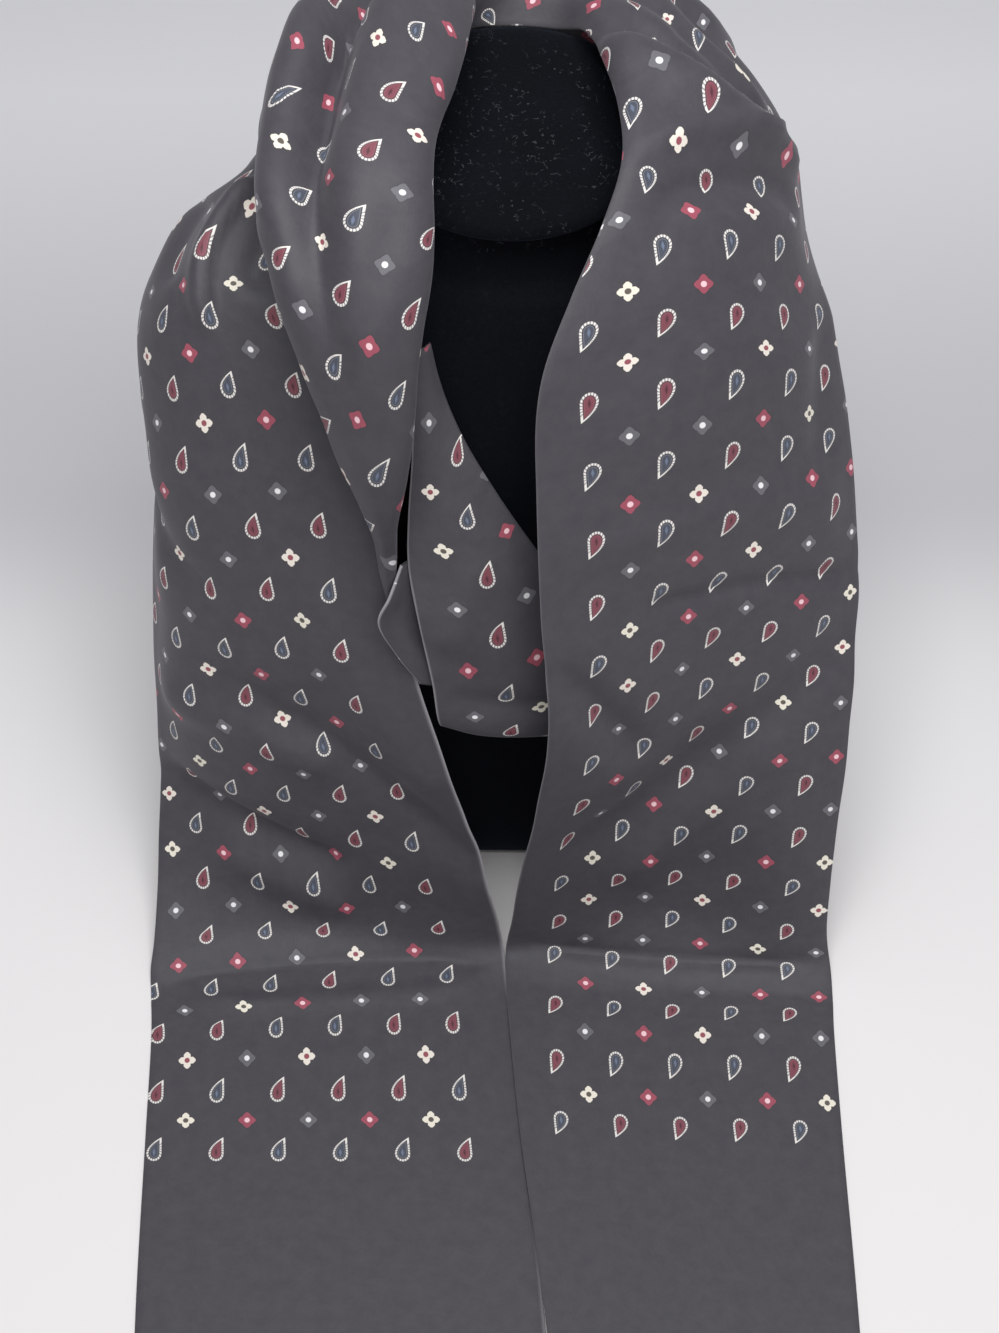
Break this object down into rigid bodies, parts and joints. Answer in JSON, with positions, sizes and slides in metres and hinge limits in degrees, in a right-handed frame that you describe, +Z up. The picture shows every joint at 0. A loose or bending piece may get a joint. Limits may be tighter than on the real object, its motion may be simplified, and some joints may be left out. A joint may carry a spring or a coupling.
{
  "type": "scarf on a display bust",
  "caption": "Long narrow printed silk scarf, a flat tube wound once round the neck of a limbless velvet bust, both ends lying forward on the table.",
  "frame": {"origin": "point of the bust's flat base on the table, on the line through the middle of the neck", "axes": "+Z up, the bust faces -Y, +X is on the right of a person who faces the bust"},
  "size_m": [0.2598, 0.4121, 0.3317],
  "materials": {
    "printed_silk": "charcoal silk twill with a soft sheen, printed with small paisleys and flowers",
    "bust_velvet": "near-black velvet, matt, with a few specks of lint"
  },
  "bodies": {
    "root": {"bust_torso": "bust_velvet", "bust_neck_cap": "bust_velvet", "end_left": "printed_silk", "hang_left": "printed_silk", "shoulder_left": "printed_silk", "neck_back_inner": "printed_silk", "loop_right": "printed_silk", "loop_front": "printed_silk", "loop_flap": "printed_silk", "loop_left": "printed_silk", "neck_back_outer": "printed_silk", "shoulder_right": "printed_silk", "hang_right": "printed_silk", "end_right": "printed_silk"}
  },
  "joints": []
}
